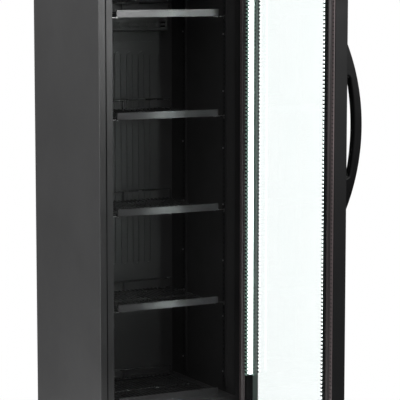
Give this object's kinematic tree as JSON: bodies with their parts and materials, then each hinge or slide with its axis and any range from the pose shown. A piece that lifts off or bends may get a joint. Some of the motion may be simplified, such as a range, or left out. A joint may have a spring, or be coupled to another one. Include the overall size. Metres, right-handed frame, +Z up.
{
  "type": "glass door merchandiser",
  "caption": "Tall upright drinks cooler with one hinged glass door, lit door frame, wire shelves and a bottom-mounted refrigeration unit.",
  "frame": {"origin": "centre of the cabinet's footprint, on the floor under the feet", "axes": "+Z up, the cabinet's front faces -Y, the door is hinged on the +X side"},
  "size_m": [0.6991, 1.2136, 1.99],
  "materials": {
    "shell_black": "satin powder coat",
    "flange_black": "satin powder coat",
    "liner_black": "satin",
    "foam": "foamed",
    "galvanised": "galvanised",
    "foot_black": "moulded",
    "grille_black": "fine grain",
    "screw_steel": "black zinc",
    "compressor_black": "gloss enamel",
    "rubber_black": "matt",
    "coil_aluminium": "plain",
    "fan_black": "moulded",
    "motor_grey": "satin",
    "copper": "plain",
    "tray_grey": "moulded",
    "plate_black": "satin",
    "cover_black": "fine grain",
    "dial_grey": "moulded",
    "switch_black": "gloss",
    "pilaster_black": "satin",
    "clip_steel": "bright zinc",
    "wire_black": "dipped coat",
    "rail_grey": "satin",
    "bracket_black": "satin",
    "door_black": "satin anodised",
    "glass": "clear",
    "spacer_black": "matt",
    "gasket_black": "matt",
    "led_channel": "anodised",
    "led_lens": "clear, lit",
    "handle_black": "satin",
    "bush_nylon": "moulded",
    "lock_chrome": "polished"
  },
  "bodies": {
    "cabinet": {"side_panel_left": "shell_black", "side_panel_right": "shell_black", "back_panel": "shell_black", "top_panel": "shell_black", "front_flange": "flange_black", "inner_liner": "liner_black", "foam_insulation": "foam", "bottom_plate": "galvanised", "drain_pipe": "tray_grey", "base_pan": "galvanised", "lower_grille": "grille_black", "case_screws": "screw_steel", "compressor": "compressor_black", "compressor_mounts": "rubber_black", "condenser_coil": "coil_aluminium", "condenser_fan_shroud": "fan_black", "condenser_fan_motor": "motor_grey", "evaporation_tray": "tray_grey", "refrigerant_pipes": "copper", "cord_inlet": "rubber_black", "evaporator_plate": "plate_black", "evaporator_fan_cover": "cover_black", "evaporator_fan_motor": "motor_grey", "control_box": "cover_black", "pilasters": "pilaster_black", "pilaster_screws": "screw_steel", "shelf_clips": "clip_steel", "floor_rack": "wire_black", "wire_shelf_1": "wire_black", "wire_shelf_2": "wire_black", "wire_shelf_3": "wire_black", "wire_shelf_4": "wire_black", "shelf_rails": "rail_grey", "top_hinge_bracket": "bracket_black", "bottom_hinge_bracket": "bracket_black", "lock_keeper": "screw_steel"},
    "door": {"door_stile_hinge_side": "door_black", "door_stile_handle_side": "door_black", "door_rail_bottom": "door_black", "door_rail_top": "door_black", "glass_pane_inner": "glass", "glass_pane_outer": "glass", "glass_spacer": "spacer_black", "door_gasket": "gasket_black", "led_bar_hinge_side": "led_channel", "led_bar_handle_side": "led_channel", "led_lens_hinge_side": "led_lens", "led_lens_handle_side": "led_lens", "door_handle": "handle_black", "hinge_bushes": "bush_nylon", "door_lock_barrel": "lock_chrome"},
    "lock_plug": {"door_lock_plug": "lock_chrome"},
    "condenser_fan": {"condenser_fan_blades": "fan_black"},
    "evaporator_fan": {"evaporator_fan_blades": "fan_black"},
    "thermostat": {"thermostat_dial": "dial_grey"},
    "light_switch": {"light_switch_rocker": "switch_black"},
    "foot_front_left": {"foot_front_left": "foot_black"},
    "foot_front_right": {"foot_front_right": "foot_black"},
    "foot_rear_left": {"foot_rear_left": "foot_black"},
    "foot_rear_right": {"foot_rear_right": "foot_black"}
  },
  "joints": [
    {"name": "door_hinge", "type": "hinge", "parent": "cabinet", "child": "door", "pos_m": [0.2815, -0.326, 1], "axis": [0, 0, 1], "range_deg": [-92.5, 22.5]},
    {"name": "lock_turn", "type": "hinge", "parent": "door", "child": "lock_plug", "pos_m": [0.32795, -0.88551, 0.215], "axis": [-0.999, -0.0436, 0], "range_deg": [0, 90]},
    {"name": "condenser_fan_spin", "type": "hinge", "parent": "cabinet", "child": "condenser_fan", "pos_m": [-0.12, -0.164, 0.1185], "axis": [0, 1, 0], "continuous": true},
    {"name": "evaporator_fan_spin", "type": "hinge", "parent": "cabinet", "child": "evaporator_fan", "pos_m": [0, 0.169, 1.762], "axis": [0, 1, 0], "continuous": true},
    {"name": "thermostat_turn", "type": "hinge", "parent": "cabinet", "child": "thermostat", "pos_m": [0.1, -0.22, 1.907], "axis": [0, -1, 0], "range_deg": [-150, 150]},
    {"name": "light_switch_rock", "type": "hinge", "parent": "cabinet", "child": "light_switch", "pos_m": [0.165, -0.212, 1.907], "axis": [0, 0, 1], "range_deg": [-14, 0]},
    {"name": "foot_front_left_turn", "type": "hinge", "parent": "cabinet", "child": "foot_front_left", "pos_m": [-0.24, -0.23, 0.02], "axis": [0, 0, 1], "range_deg": [-180, 180]},
    {"name": "foot_rear_left_turn", "type": "hinge", "parent": "cabinet", "child": "foot_rear_left", "pos_m": [-0.24, 0.235, 0.02], "axis": [0, 0, 1], "range_deg": [-180, 180]},
    {"name": "foot_front_right_turn", "type": "hinge", "parent": "cabinet", "child": "foot_front_right", "pos_m": [0.24, -0.23, 0.02], "axis": [0, 0, 1], "range_deg": [-180, 180]},
    {"name": "foot_rear_right_turn", "type": "hinge", "parent": "cabinet", "child": "foot_rear_right", "pos_m": [0.24, 0.235, 0.02], "axis": [0, 0, 1], "range_deg": [-180, 180]}
  ]
}
